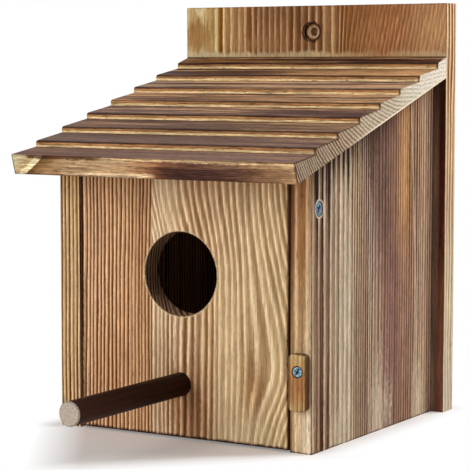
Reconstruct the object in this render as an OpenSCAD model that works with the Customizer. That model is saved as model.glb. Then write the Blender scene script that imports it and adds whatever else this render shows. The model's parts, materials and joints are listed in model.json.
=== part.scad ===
// Flamed-timber nest box: inset clean-out front that hangs on two screws, a turn button that
// keeps it shut, a dowel perch and a one-piece roof board milled in steps.
// Millimetres, +Z up. The front faces -Y and the right wall stands at +X.
// The origin is the middle of the footprint, on the ground.

/* [Box] */
// Outside width across the two side walls
body_width = 150; // [120:1:220]
// Depth of the side walls, from their front edges to the back board
body_depth = 135; // [110:1:200]
// Height of the side walls at their front edges
wall_front_height = 142; // [125:1:220]
// Thickness of the wall, floor and front boards
board = 12; // [9:0.5:16]

/* [Back board] */
// Reach of the back board past each side wall
back_reach = 7.5; // [3:0.5:40]
// Rise of the back board above the roof board
back_rise = 28.95; // [26:0.05:90]
// Thickness of the back board
back_thickness = 12; // [9:0.5:18]
// Distance from the top edge down to the hanging hole
hanging_drop = 14.5; // [10:0.5:18]
// Diameter of the hanging hole's through bore
hanging_bore = 4.8; // [4:0.2:6]
// Diameter of the hanging hole's bevelled rim, at the foot of its counterbore
hanging_rim = 7.2; // [6.4:0.2:8.6]
// Diameter of the hanging hole's counterbore
hanging_counterbore = 10.2; // [9:0.2:14]
// Depth of the hanging hole's counterbore
hanging_counterbore_depth = 2; // [1:0.5:4]

/* [Roof] */
// Slope of the roof board
roof_slope = 16.5; // [8:0.5:24]
// Reach of the roof board past each side wall
roof_reach = 7.5; // [2:0.5:40]
// Thickness of the roof board at the lip of each tread and along the last one
roof_thickness = 10.6; // [9:0.2:16]
// Reach of the roof board past the side walls, along its slope
roof_overhang = 29.6; // [15:0.2:45]
// Depth of the milled steps
step_depth = 2.9; // [2:0.1:3.5]
// Lean of the steps' risers, from foot to lip
riser_lean = 1; // [0:0.2:2]
// Reach of the rounding on each lip, along its riser and its tread
lip_round = 1.4; // [0.4:0.2:1.8]
// Spacing of the milled steps along the slope
step_pitch = 23.5; // [14:0.5:40]
// Length of the front tread
front_tread = 21.8; // [14:0.2:40]
// Shortest tread left against the back board
last_tread_min = 6; // [4:0.5:12]

/* [Clean-out front] */
// Gap between the front panel and the left wall
gap_left = 1.4; // [0.6:0.1:3]
// Gap between the front panel and the right wall
gap_right = 0.8; // [0.6:0.1:3]
// Gap between the front panel and the roof board
gap_top = 5; // [5:0.5:10]
// Gap between the front panel and the ground
gap_bottom = 1; // [0.5:0.5:4]
// Gap between the front panel and the floor board
gap_floor = 1; // [0.5:0.5:4]
// Diameter of the entrance hole
entrance_diameter = 42.8; // [25:0.2:50]
// Height of the entrance hole's centre
entrance_height = 84.2; // [70:0.2:120]
// Sideways place of the entrance hole and the perch
entrance_offset = -0.5; // [-5:0.5:5]
// Depth of the pivot screws behind the front face
pivot_setback = 7; // [5:0.5:8]
// Distance from the side walls' front top corners down to the pivot screws
pivot_drop = 22.4; // [20:0.2:30]

/* [Perch] */
// Diameter of the perch dowel
perch_diameter = 12; // [8:0.5:14]
// Length of the perch in front of the panel
perch_length = 95.4; // [40:0.2:120]
// Height of the perch's centre
perch_height = 28.2; // [20:0.2:50]
// Depth of the perch's socket in the panel
perch_socket = 9; // [6:0.5:10]
// Chamfer on the perch's free end
perch_chamfer = 0.6; // [0.2:0.1:1.5]

/* [Turn button] */
// Length of the turn button
button_length = 28.2; // [24:0.2:40]
// Width of the turn button
button_width = 9.6; // [8:0.2:10]
// Thickness of the turn button
button_thickness = 3.8; // [3:0.2:6]
// Radius of the turn button's corners
button_corner = 2.6; // [1:0.2:4]
// Distance from the turn button's near end to its screw
button_screw_inset = 8.7; // [6:0.1:12]
// Height of the turn button's screw
button_height = 40.8; // [30:0.2:60]
// Distance from the right wall's outer face to the turn button's screw
button_screw_edge = 6; // [5:0.1:6]
// Gap between the turn button and the face it turns on
button_gap = 0.3; // [0.2:0.1:0.6]

/* [Screws] */
// Head diameter of the pivot and back screws
screw_head = 7; // [6:0.2:9]
// Shank diameter of the pivot and back screws
screw_shank = 3.5; // [3:0.1:4.5]
// Length of the pivot screws
pivot_screw_length = 30; // [24:1:40]
// Length of the back screws
back_screw_length = 35; // [25:1:45]
// Head diameter of the turn button's screw
button_screw_head = 5.2; // [4.6:0.1:6]
// Shank diameter of the turn button's screw
button_screw_shank = 2.8; // [2.2:0.1:3.2]
// Length of the turn button's screw
button_screw_length = 18; // [14:1:24]
// Distance of the walls' back screws from the walls' lower and upper ends
back_screw_end = 32; // [20:1:50]
// Distance of the floor's back screws from the side walls
floor_screw_inset = 25; // [10:1:40]

/* [Floor] */
// Diameter of the drain holes
drain_diameter = 5; // [3:0.5:8]
// Distance of the drain holes from the floor board's edges
drain_inset = 16; // [10:1:30]

/* [Hidden] */
$fn = 64;

// Running clearances and seats
running = 0.06;
seat = 0.05;
head_recess = 0.3;
head_clearance = 0.5;
head_rim = 0.4;
tip_share = 2;
lip_facets = 6;
cut = 1;

// Planes of the box
y_front = -(body_depth + back_thickness) / 2;
y_back = y_front + body_depth;
y_rear = y_back + back_thickness;
x_outer = body_width / 2;
x_inner = x_outer - board;
wall_back_height = wall_front_height + body_depth * tan(roof_slope);

// Front panel
panel_left = -x_inner + gap_left;
panel_right = x_inner - gap_right;
panel_top = wall_front_height - gap_top;
panel_bottom = gap_bottom;
y_panel_back = y_front + board;
pivot_y = y_front + pivot_setback;
pivot_z = wall_front_height - pivot_drop;

// Turn button, stored hanging open
button_x = x_outer - button_screw_edge;
y_button_back = y_front - button_gap;
y_button_front = y_button_back - button_thickness;

// Back screws
wall_screw_x = x_outer - board / 2;
wall_screw_low = back_screw_end;
wall_screw_high = wall_back_height - back_screw_end;
floor_screw_x = x_inner - floor_screw_inset;
floor_screw_z = board / 2;

// Roof profile, [distance along the slope, height square to it] from the walls' front top corners
roof_back_u = body_depth / cos(roof_slope);
roof_back_top_u = roof_back_u + roof_thickness * tan(roof_slope);
step_room = roof_back_u + roof_overhang - front_tread - last_tread_min;
step_count = floor(step_room / step_pitch) + 1;
roof_front = [[-roof_overhang, 0], [-roof_overhang, roof_thickness]];
roof_rear = [[roof_back_top_u, roof_thickness], [roof_back_u, 0]];

function on_slope(p) = [
    y_front + p[0] * cos(roof_slope) - p[1] * sin(roof_slope),
    wall_front_height + p[0] * sin(roof_slope) + p[1] * cos(roof_slope)
];
function lip(k) = k < step_count
    ? [-roof_overhang + front_tread + k * step_pitch, roof_thickness]
    : roof_rear[0];
function foot(k) = k < step_count ? lip(k) - [riser_lean, step_depth] : roof_rear[0];
function toward(from, to, reach) = from + reach * (to - from) / norm(to - from);
function curve(start, corner, end, t) =
    (1 - t) * (1 - t) * start + 2 * t * (1 - t) * corner + t * t * end;
function rounded(before, corner, after) = [
    for (n = [0 : lip_facets])
        curve(toward(corner, before, lip_round), corner, toward(corner, after, lip_round), n / lip_facets)
];

roof_profile = concat(
    roof_front,
    [for (k = [0 : step_count - 1]) each concat([foot(k)], rounded(foot(k), lip(k), foot(k + 1)))],
    roof_rear
);

// Outlines that follow the box
roof_half = x_outer + roof_reach;
back_half = x_outer + back_reach;
back_height = wall_back_height + roof_thickness / cos(roof_slope) + back_rise;

// Draws a shape given in the Y-Z plane as a board from x = from_x to x = to_x
module across(from_x, to_x) {
    translate([from_x, 0, 0])
        rotate([90, 0, 90])
            linear_extrude(to_x - from_x)
                children();
}

// Points what is drawn along +Z along +Y
module to_back() {
    rotate([-90, 0, 0])
        children();
}

// Countersunk wood screw: the head's face lies at z = 0 and the point at z = -length
module wood_screw(head, shank, length) {
    tip = shank * tip_share;
    cone = (head - shank) / 2;
    rotate_extrude()
        polygon([
            [0, 0],
            [head / 2, 0],
            [head / 2, -head_rim],
            [shank / 2, -head_rim - cone],
            [shank / 2, -length + tip],
            [0, -length]
        ]);
}

// Room for a wood screw whose head's face lies at z = 0: countersink, shank bore and point
module screw_room(head, shank, length, clearance) {
    wide = head + 2 * head_clearance;
    bore = shank + 2 * clearance;
    tip = shank * tip_share;
    cone = (wide - bore) / 2;
    rotate_extrude()
        polygon([
            [0, cut],
            [wide / 2, cut],
            [wide / 2, -head_rim],
            [bore / 2, -head_rim - cone],
            [bore / 2, -length + tip],
            [0, -length - clearance]
        ]);
}

// Places a pivot screw or its room on the left (side = -1) or right (side = 1) wall
module at_pivot(side) {
    translate([side * (x_outer - head_recess), pivot_y, pivot_z])
        rotate([0, side * 90, 0])
            children();
}

// Places a back screw or its room, driven forward from the back board's rear face
module at_back(x, z) {
    translate([x, y_rear - head_recess, z])
        to_back()
            children();
}

// Places the turn button's screw or its room
module at_button() {
    translate([button_x, y_button_front + head_recess, button_height])
        rotate([90, 0, 0])
            children();
}

// Room for the hanging screw, from the board's front face at z = 0: counterbore, rim and bore
module hanging_room() {
    rim_depth = (hanging_rim - hanging_bore) / 2;
    rotate_extrude()
        polygon([
            [0, -cut],
            [hanging_counterbore / 2, -cut],
            [hanging_counterbore / 2, hanging_counterbore_depth],
            [hanging_rim / 2, hanging_counterbore_depth],
            [hanging_bore / 2, hanging_counterbore_depth + rim_depth],
            [hanging_bore / 2, back_thickness + cut],
            [0, back_thickness + cut]
        ]);
}

module back_screw_room(x, z) {
    at_back(x, z)
        screw_room(screw_head, screw_shank, back_screw_length, seat);
}

module back_screw(x, z) {
    color("silver")
        at_back(x, z)
            wood_screw(screw_head, screw_shank, back_screw_length);
}

// Tall rear board with its counterbored hanging hole and six screw holes
module back_board() {
    color("peru")
        difference() {
            translate([-back_half, y_back, 0])
                cube([2 * back_half, back_thickness, back_height]);
            translate([0, y_back, back_height - hanging_drop])
                to_back()
                    hanging_room();
            for (side = [-1, 1]) {
                back_screw_room(side * wall_screw_x, wall_screw_low);
                back_screw_room(side * wall_screw_x, wall_screw_high);
                back_screw_room(side * floor_screw_x, floor_screw_z);
            }
        }
}

// Side wall, cut to the roof's slope along its top, on the left (-1) or right (1)
module side_wall(side) {
    from_x = side > 0 ? x_inner : -x_outer;
    color("burlywood")
        difference() {
            across(from_x, from_x + board)
                polygon([
                    [y_front, 0],
                    [y_back, 0],
                    [y_back, wall_back_height],
                    [y_front, wall_front_height]
                ]);
            at_pivot(side)
                screw_room(screw_head, screw_shank, pivot_screw_length, seat);
            back_screw_room(side * wall_screw_x, wall_screw_low);
            back_screw_room(side * wall_screw_x, wall_screw_high);
            if (side > 0)
                at_button()
                    screw_room(button_screw_head, button_screw_shank, button_screw_length, seat);
        }
}

// Floor board, let in between the walls with a drain hole near each corner
module floor_board() {
    y_floor = y_panel_back + gap_floor;
    color("tan")
        difference() {
            translate([-x_inner, y_floor, 0])
                cube([2 * x_inner, y_back - y_floor, board]);
            for (side = [-1, 1]) {
                for (y = [y_floor + drain_inset, y_back - drain_inset])
                    translate([side * (x_inner - drain_inset), y, -cut])
                        cylinder(h = board + 2 * cut, d = drain_diameter);
                back_screw_room(side * floor_screw_x, floor_screw_z);
            }
        }
}

// Roof board, one thick plank milled in steps across its top
module roof_board() {
    color("saddlebrown")
        across(-roof_half, roof_half)
            polygon([for (p = roof_profile) on_slope(p)]);
}

// Clean-out front with the entrance hole, the perch's socket and the pivot bores in its edges
module front_panel() {
    color("navajowhite")
        difference() {
            translate([panel_left, y_front, panel_bottom])
                cube([panel_right - panel_left, board, panel_top - panel_bottom]);
            translate([entrance_offset, y_front - cut, entrance_height])
                to_back()
                    cylinder(h = board + 2 * cut, d = entrance_diameter, $fn = 128);
            translate([entrance_offset, y_front - cut, perch_height])
                to_back()
                    cylinder(h = perch_socket + cut, d = perch_diameter + 2 * seat);
            for (side = [-1, 1])
                at_pivot(side)
                    screw_room(screw_head, screw_shank, pivot_screw_length, running);
        }
}

// Dowel perch, glued in its socket
module perch() {
    color("#3a2019")
        translate([entrance_offset, y_front + perch_socket, perch_height])
            rotate([90, 0, 0])
                rotate_extrude()
                    polygon([
                        [0, 0],
                        [perch_diameter / 2, 0],
                        [perch_diameter / 2, perch_socket + perch_length - perch_chamfer],
                        [perch_diameter / 2 - perch_chamfer, perch_socket + perch_length],
                        [0, perch_socket + perch_length]
                    ]);
}

// Outline of the turn button with its screw's axis at the origin, hanging down
module button_outline() {
    low = button_screw_inset - button_length + button_corner;
    high = button_screw_inset - button_corner;
    half = button_width / 2 - button_corner;
    translate([-button_width / 2, low])
        square([button_width, high - low]);
    translate([-half, low - button_corner])
        square([2 * half, button_length]);
    for (x = [-half, half])
        for (z = [low, high])
            translate([x, z])
                circle(r = button_corner);
}

// Turn button, hanging open on its screw
module turn_button() {
    color("sienna")
        difference() {
            translate([button_x, y_button_back, button_height])
                rotate([90, 0, 0])
                    linear_extrude(button_thickness)
                        button_outline();
            at_button()
                screw_room(button_screw_head, button_screw_shank, button_screw_length, running);
        }
}

module turn_button_screw() {
    color("silver")
        at_button()
            wood_screw(button_screw_head, button_screw_shank, button_screw_length);
}

module pivot_screw(side) {
    color("silver")
        at_pivot(side)
            wood_screw(screw_head, screw_shank, pivot_screw_length);
}

back_board();
side_wall(-1);  // left_wall
side_wall(1);  // right_wall
floor_board();
roof_board();
front_panel();
perch();
turn_button();
turn_button_screw();
pivot_screw(-1);  // left_pivot_screw
pivot_screw(1);  // right_pivot_screw
back_screw(-wall_screw_x, wall_screw_low);  // left_wall_screw_lower
back_screw(-wall_screw_x, wall_screw_high);  // left_wall_screw_upper
back_screw(wall_screw_x, wall_screw_low);  // right_wall_screw_lower
back_screw(wall_screw_x, wall_screw_high);  // right_wall_screw_upper
back_screw(-floor_screw_x, floor_screw_z);  // floor_screw_left
back_screw(floor_screw_x, floor_screw_z);  // floor_screw_right
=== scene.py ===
"""Nest box of flamed softwood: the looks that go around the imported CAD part."""

import json
import math
from functools import partial
from types import SimpleNamespace

import bmesh
import bpy
from mathutils import Euler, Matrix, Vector


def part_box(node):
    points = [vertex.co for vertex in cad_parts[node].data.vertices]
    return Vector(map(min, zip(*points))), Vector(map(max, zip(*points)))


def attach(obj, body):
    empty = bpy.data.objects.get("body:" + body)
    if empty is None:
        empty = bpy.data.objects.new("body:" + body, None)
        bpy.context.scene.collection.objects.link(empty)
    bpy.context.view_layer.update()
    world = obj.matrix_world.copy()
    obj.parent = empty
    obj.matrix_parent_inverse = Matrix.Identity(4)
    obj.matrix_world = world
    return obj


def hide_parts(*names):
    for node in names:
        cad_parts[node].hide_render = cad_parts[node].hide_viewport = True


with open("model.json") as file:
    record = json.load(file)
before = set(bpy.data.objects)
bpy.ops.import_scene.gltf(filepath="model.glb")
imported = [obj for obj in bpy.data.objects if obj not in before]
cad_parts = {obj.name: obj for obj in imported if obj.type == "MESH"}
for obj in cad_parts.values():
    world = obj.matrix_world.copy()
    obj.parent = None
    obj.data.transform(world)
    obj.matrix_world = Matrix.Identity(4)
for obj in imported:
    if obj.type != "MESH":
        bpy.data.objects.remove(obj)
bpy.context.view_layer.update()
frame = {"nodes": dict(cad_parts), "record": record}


# ---- Back board -------------------------------------------------------------------------------
# One tall softwood board, planed and then scorched with a torch. The flame browns the soft early
# wood and leaves the hard late-wood lines pale. Six screws hold it to the walls and the floor.

def linear(hex_colour):
    """An sRGB hex value as linear red, green, blue and alpha."""
    parts = [int(hex_colour[i:i + 2], 16) / 255 for i in (1, 3, 5)]
    return tuple(c / 12.92 if c <= 0.04045 else ((c + 0.055) / 1.055) ** 2.4 for c in parts) + (1.0,)


def add(tree, kind, *inputs, out=0, stops=(), **settings):
    """Adds a node, "Kind" or "Kind OPERATION", sets or links its inputs in order and gives an output."""
    kind, _, operation = kind.partition(" ")
    made = tree.nodes.new("ShaderNode" + kind)
    if operation:
        setattr(made, "data_type" if kind == "Mix" else "operation", operation)
    for key, value in settings.items():
        setattr(made, key, value)
    for socket, value in zip([s for s in made.inputs if s.enabled], inputs):
        if isinstance(value, bpy.types.NodeSocket):
            tree.links.new(value, socket)
        elif value is not None:
            socket.default_value = linear(value) if isinstance(value, str) else value
    if stops:
        marks = made.color_ramp.elements
        marks.remove(marks[1])
        for number, (place, colour) in enumerate(stops):
            mark = marks.new(place) if number else marks[0]
            mark.position = place
            mark.color = linear(colour) if isinstance(colour, str) else (colour, colour, colour, 1.0)
    given = [s for s in made.outputs if s.enabled]
    return given[out] if given else made


def emptied(owner):
    """Clears the nodes of a material or a world and gives the function that adds new ones."""
    owner.use_nodes = True
    owner.node_tree.nodes.clear()
    return partial(add, owner.node_tree)


def streaks(board, width, length, seed, detail=2.0, roughness=0.5):
    """Soft random streaks, so many millimetres wide across the grain and long along it."""
    size = (1 / width, 1 / width, 1 / length)
    spot = board.put("VectorMath MULTIPLY_ADD", board.grain, size, (seed, seed * 0.37, seed * 1.71))
    return board.put("TexNoise", spot, 1.0, detail, roughness)


def strayed(board, place, reach, *streak):
    """A place that soft streaks move by up to so many millimetres either way."""
    start = board.put("Math ADD", place, -reach)
    return board.put("Math MULTIPLY_ADD", streaks(board, *streak), reach * 2, start)


def timber(name, across, along, depth, corner, slope=0.0, flip=""):
    """A new wood material with its board's own directions, in millimetres from the given corner:
    across the grain, along it and into the wood. The n_ values are how far a face looks that way."""
    material = bpy.data.materials.new(name)
    put = emptied(material)
    turn = Euler((-slope, 0, 0))
    start = turn.to_matrix() @ Vector(corner)
    spot = put("Mapping", put("TexCoord", out=3), tuple(-start), tuple(turn), (1000, 1000, 1000))
    look = put("Mapping", put("TexCoord", out=1), tuple(turn), vector_type="VECTOR")
    board = SimpleNamespace(material=material, put=put)
    for role, axis in (("across", across), ("along", along), ("depth", depth)):
        for prefix, vector in (("", spot), ("n_", look)):
            value = put("SeparateXYZ", vector, out="xyz".index(axis))
            if axis in flip:
                value = put("Math MULTIPLY", value, -1.0)
            setattr(board, prefix + role, value)
    board.grain = put("CombineXYZ", board.across, board.depth, board.along)
    # What is ragged strays by up to 1.2 mm in long streaks and 0.7 mm in short ones.
    board.ragged = strayed(board, strayed(board, 0.0, 1.2, 2.4, 70, 5), 0.7, 1.1, 3, 6)
    return board


def wandered(board, seed, sway=3.0, shiver=0.9):
    """The place across the grain, bent as the tree grew: a long slow sway and a shorter one."""
    slow = strayed(board, board.across, sway, 60, 150, seed, 1.0)
    return strayed(board, slow, shiver, 14, 45, seed + 3, 1.0)


def banded(board, place, stops):
    """Colours or values that run on from one millimetre place to the next."""
    low, high = stops[0][0], stops[-1][0]
    share = board.put("MapRange", place, low, high)
    return board.put("ValToRGB", share, stops=[((at - low) / (high - low), c) for at, c in stops])


def counted(board, place, counts):
    """A number that grows along the board: counts pairs millimetre places with what it has reached."""
    total = counts[-1][1]
    return board.put("Math MULTIPLY", banded(board, place, [(at, n / total) for at, n in counts]), total)


def ringed(board, place, counts, seed, pale=0.6, swell=0.3, uneven=0.6, crisp=1.4, late=1.0):
    """How dark a growth ring is: 0 on its pale line, rising past the middle tone to 1 before the next
    line. counts pairs places with ring numbers, pale is the share of a ring that is pale, and late is
    the tone that a ring ends on. With crisp over 1 the lines pass their own colours, because they
    are too fine to show in full."""
    put = board.put
    rings = strayed(board, counted(board, place, counts), uneven / 2, 5, 400, seed + 7, 1.0)
    rings = put("Math MULTIPLY_ADD", board.ragged, 0.1, rings)
    # The palest step just after each dark band is partly the wood's own pale line and partly a painted
    # highlight, where the brushed ridges catch the light.
    tone = put("ValToRGB", put("Math FRACT", rings), stops=[
        (0.0, 0.2), (0.06, 0.0), (pale / 2, swell), (pale, 0.76),
        (0.45 + 0.55 * pale, 0.98), (0.95, late), (1.0, 0.2)])
    own = put("CombineXYZ", put("Math FLOOR", rings), seed, put("Math MULTIPLY", board.along, 0.006))
    strength = put("MapRange", put("TexNoise", own, 0.73, 1.0), 0.32, 0.62, 0.68, 0.95)
    return put("Math MULTIPLY_ADD", put("Math MULTIPLY", tone, strength), crisp, 0.45 * (1 - crisp))


def grained(board, line, pale, dark):
    """The colour of a growth ring between its pale line and its dark band. Crisp rings pass both."""
    return board.put("Mix RGBA", line, pale, dark, clamp_factor=False, clamp_result=True)


def flame_mark(board, centre, reach, soft, ragged):
    """1 where the flame lingered and 0 beyond its reach, each given across and along the grain."""
    put = board.put
    spot = put("CombineXYZ", board.across, board.along, 0.0)
    spot = put("VectorMath SUBTRACT", spot, (*centre, 0.0))
    spot = put("VectorMath MULTIPLY", spot, (1 / reach[0], 1 / reach[1], 0.0))
    off = put("Math MULTIPLY_ADD", board.ragged, ragged, put("VectorMath LENGTH", spot))
    return put("MapRange", off, 1.0, 1.0 - soft, 0.0, 1.0, interpolation_type="SMOOTHSTEP")


def scorched(board, colour, marks, soft=0.9, ragged=1.0, within=1.0, blend="MIX"):
    """A colour with flame marks laid over it. A mark is its centre, its reach, how much of its tone
    it gives and the tone itself."""
    put = board.put
    for centre, reach, share, tone in marks:
        mark = put("Math MULTIPLY", flame_mark(board, centre, reach, soft, ragged), within)
        mark = put("Math MULTIPLY", mark, share)
        colour = put("Mix RGBA", mark, colour, tone, blend_type=blend)
    return colour


def faces(board, direction, sign=1):
    """1 on the faces that look along one of the board's directions, 0 on the others. Sign -1 takes
    those that look against it, and 0 takes both."""
    value = getattr(board, "n_" + direction)
    if sign == 0:
        value = board.put("Math ABSOLUTE", value)
    else:
        value = board.put("Math MULTIPLY", value, float(sign))
    return board.put("MapRange", value, 0.55, 0.80)


def singed(board, *edges, width=0.9):
    """1 in a dark ragged rim along sharp edges, about so many millimetres wide: the rim that the flame
    leaves, and at some edges painted shade. An edge is a direction and its place."""
    put = board.put
    near = 99.0
    for value, place in edges:
        near = put("Math MINIMUM", put("Math ABSOLUTE", put("Math SUBTRACT", value, place)), near)
    return put("MapRange", put("Math MULTIPLY_ADD", board.ragged, 0.8, near), width, width * 0.3, 0.0, 1.0)


def from_axis(board, across, along):
    """The distance from a hole's or a screw's axis, in millimetres."""
    spot = board.put("CombineXYZ", board.across, board.along, 0.0)
    return board.put("VectorMath DISTANCE", spot, (across, along, 0.0))


def finish_timber(board, colour, relief, end_grain=None, rough=0.62, fuzz=1.0, ridge=0.08):
    """Adds fibre, end grain, sheen and relief to a board's colour, and closes its material. The
    fibres are drawn coarser than the real 0.1 mm, so that they show."""
    put = board.put
    fibre = streaks(board, 0.6, 16, 41, 3.0, 0.7)
    hair = streaks(board, 0.3, 5, 45, 2.0, 0.6)
    fleck = streaks(board, 1.0, 5, 57, 2.0, 0.6)
    cloud = streaks(board, 9, 60, 63, 2.0)
    shade = put("MapRange", fibre, 0.3, 0.7, 1 - 0.3 * fuzz, 1 + 0.3 * fuzz)
    shade = put("Math MULTIPLY", shade, put("MapRange", hair, 0.3, 0.7, 1 - 0.2 * fuzz, 1 + 0.2 * fuzz))
    shade = put("Math MULTIPLY", shade, put("MapRange", cloud, 0.3, 0.7, 0.92, 1.08))
    shade = put("Math MULTIPLY", shade, put("MapRange", fleck, 0.60, 0.74, 1.0, 1 - 0.35 * fuzz))
    colour = put("VectorMath SCALE", colour, shade)
    if end_grain is None:
        end_grain = put("Mix RGBA", relief, "#B4966C", "#77593A")
    grit = put("TexNoise", board.grain, 1.3, 3.0, 0.6)
    end_grain = put("VectorMath SCALE", end_grain, put("MapRange", grit, 0.3, 0.7, 0.86, 1.12))
    colour = put("Mix RGBA", faces(board, "along", 0), colour, end_grain)
    height = put("Math MULTIPLY_ADD", relief, ridge, put("Math MULTIPLY", fibre, 0.10 * fuzz))
    bump = put("Bump", 0.7, 0.001, None, height)
    roughness = put("MapRange", fibre, 0.3, 0.7, rough - 0.08, rough + 0.10)
    shader = put("BsdfPrincipled", colour, 0.0, roughness, 1.45, None, bump)
    shader.node.inputs["Specular IOR Level"].default_value = 0.06
    put("OutputMaterial", shader)
    return board.material


def eased(node, width=0.4):
    """A board's sharp corners, taken off with sandpaper."""
    flat = node.modifiers.new("flat", "DECIMATE")
    flat.decimate_type = "DISSOLVE"
    flat.angle_limit = math.radians(1)
    ease = node.modifiers.new("ease", "BEVEL")
    ease.width = width / 1000
    ease.segments = 2
    ease.limit_method = "ANGLE"
    ease.angle_limit = math.radians(40)
    ease.harden_normals = True


def dress(node_name, material):
    """Gives a CAD node its finish."""
    node = frame["nodes"][node_name]
    node.data.materials.clear()
    node.data.materials.append(material)
    return node


def corner_of(node_name):
    """A CAD node's lowest corner in millimetres."""
    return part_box(node_name)[0] * 1000


# Planed and flamed softwood: the eye sees brown bands between hard pale lines, dull all over.
low, high = (corner * 1000 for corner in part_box("back_board"))
top, half_width, thickness = high.z, high.x, high.y - low.y
roof_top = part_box("roof_board")[1].z * 1000
wall_low, wall_high = (corner * 1000 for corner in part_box("right_wall"))
board = timber("flamed_back_board", "x", "z", "y", (0, low.y, 0))
put = board.put
place = wandered(board, 11, 0.9, 0.3)
leaning = put("MapRange", board.across, 16, 32, 0.0, -0.2)
rise = put("MapRange", board.along, 187, 227, -20, 20)
place = put("Math MULTIPLY_ADD", rise, leaning, put("Math MULTIPLY_ADD", board.depth, 0.8, place))
counts = [
    (-83, 0), (-64, 2), (-57.7, 3), (-38.5, 7), (-16, 13), (2.2, 17), (16, 19.6), (22, 22), (98, 53)]
pale_lines = ringed(board, place, counts, 12, 0.34, 0.15, 0.5, 1.3)
fuzzy_lines = ringed(board, place, counts, 12, 0.5, 0.3, 1.4, 1.0)
line = put("Mix FLOAT", put("MapRange", board.across, 17, 25), pale_lines, fuzzy_lines)
pale = banded(board, board.across, [
    (-83, "#CDB382"), (-66, "#D2B986"), (-60, "#DEBF8A"), (-50, "#D0A878"), (-38, "#C0966C"),
    (-15, "#BC9268"), (10, "#BF966A"), (15, "#CCA473"), (22, "#A97849"), (34, "#AA7A4F"),
    (50, "#B78258"), (66, "#BB8D63"), (83, "#BF936A")])
dark = banded(board, board.across, [
    (-83, "#BA9A66"), (-66, "#B4945C"), (-60, "#84581F"), (-50, "#85592A"), (-38, "#764A26"),
    (-15, "#744623"), (0, "#643B1C"), (10, "#6C401E"), (20, "#6C3F1E"), (26, "#73441C"),
    (34, "#85542A"), (50, "#824F25"), (66, "#8F5F37"), (83, "#986B43")])
colour = grained(board, line, pale, dark)
colour = scorched(board, colour, [((-76, 206), (11, 13), 0.85, "#9C6F3C")], 0.55, 0.35)
colour = scorched(board, colour, [((-73.5, 221), (5, 5), 1.0, "#D6BE90")], 0.6, 0.3)
colour = scorched(board, colour, [
    ((40, 219), (30, 12), 0.45, "#7A4A2A"), ((-22, 219), (34, 13), 0.35, "#5E381C"),
    ((0, 206), (13, 12), 0.35, "#5A3419"), ((76, 208), (14, 14), 0.4, "#C39462"),
    ((-34, 201), (30, 6), 0.4, "#A67B4E")], ragged=0.6)
# Just above the roof the torch left a bare strip, with a dark line below it where the roof butts.
flame_end = put("Math MULTIPLY_ADD", streaks(board, 7, 40, 17), 6.0, board.along)
flame_end = put("Math MULTIPLY_ADD", line, 0.8, flame_end)
bare = banded(board, board.across, [
    (-83, "#C6B48C"), (-20, "#B4966F"), (0, "#BBA278"), (40, "#A47A52"), (83, "#BCA078")])
colour = put("Mix RGBA", put("MapRange", flame_end, roof_top + 7.4, roof_top + 5.6), colour, bare)
joint = put("MapRange", board.along, roof_top + 0.8, roof_top + 0.2)
colour = put("Mix RGBA", joint, colour, "#3F2818")
# Lower down, the strips that stand out beside the walls are burnt deep, and painted shade darkens them
# toward the roof above. Inside the box it is bare.
aside = put("Math ABSOLUTE", board.across)
beside = put("MapRange", aside, wall_high.x - 1.5, wall_high.x - 0.5)
beside = put("Math MULTIPLY", put("MapRange", board.along, roof_top, roof_top - 2), beside)
deep_burn_and_shade = banded(board, board.across, [
    (75, "#7C6252"), (78, "#785A48"), (79.4, "#4A2419"), (81.6, "#451F15"), (82.5, "#7A4A38")])
low_deep = banded(board, board.across, [
    (75, "#7E6556"), (78, "#765846"), (79.4, "#86543E"), (82.5, "#8E604A")])
height = put("Math MULTIPLY_ADD", board.ragged, 20.0, board.along)
deep_burn_and_shade = put("Mix RGBA", put("MapRange", height, 110, 15), deep_burn_and_shade, low_deep)
# Painted shade: just under the roof's side overhang the strips turn near black, fading out lower down.
deep_burn_and_shade = put("Mix RGBA", put("MapRange", board.along, roof_top - 1, 130), "#38201A", deep_burn_and_shade)
rib = streaks(board, 4, 60, 18)
deep_burn_and_shade = put("VectorMath SCALE", deep_burn_and_shade, put("MapRange", rib, 0.35, 0.65, 0.7, 1.35))
colour = put("Mix RGBA", beside, colour, deep_burn_and_shade)
inside = put("MapRange", aside, wall_low.x - 0.5, wall_low.x - 1.5)
below_top = put("MapRange", board.along, wall_high.z + 1, wall_high.z - 0.5)
inside = put("Math MULTIPLY", inside, below_top)
colour = put("Mix RGBA", put("Math MULTIPLY", inside, 0.85), colour, "#CBA27E")
behind = faces(board, "depth")
tan = grained(board, line, "#CBA474", "#865A35")
colour = put("Mix RGBA", behind, colour, tan)
colour = scorched(board, colour, [
    ((-40, 150), (26, 70), 0.55, "#7A4F31"), ((48, 60), (22, 80), 0.5, "#6F4833"),
    ((4, 20), (26, 40), 0.5, "#8A5C38"), ((20, 205), (50, 24), 0.5, "#74492B")], within=behind)
singe = singed(board, (aside, half_width), (board.along, top), width=0.7)
colour = put("Mix RGBA", put("Math MULTIPLY", singe, 0.45), colour, "#5E3B22")
# The sawn sides, greyer toward the foot.
edge_line = put("Math MULTIPLY_ADD", board.depth, 0.9, wandered(board, 15, 1.0, 1.6))
edge_line = ringed(board, edge_line, [(-90, 0), (110, 66)], 16, 0.55, crisp=2.0)
edge_pale = banded(board, board.along, [
    (0, "#D6CAB4"), (80, "#D8C6A8"), (125, "#DEC29C"), (222, "#ECCCA2")])
edge_dark = banded(board, board.along, [
    (0, "#BDAC90"), (80, "#B89B78"), (125, "#AC845E"), (222, "#99693F")])
edge = grained(board, edge_line, edge_pale, edge_dark)
colour = put("Mix RGBA", faces(board, "across", 0), colour, edge)
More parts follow.
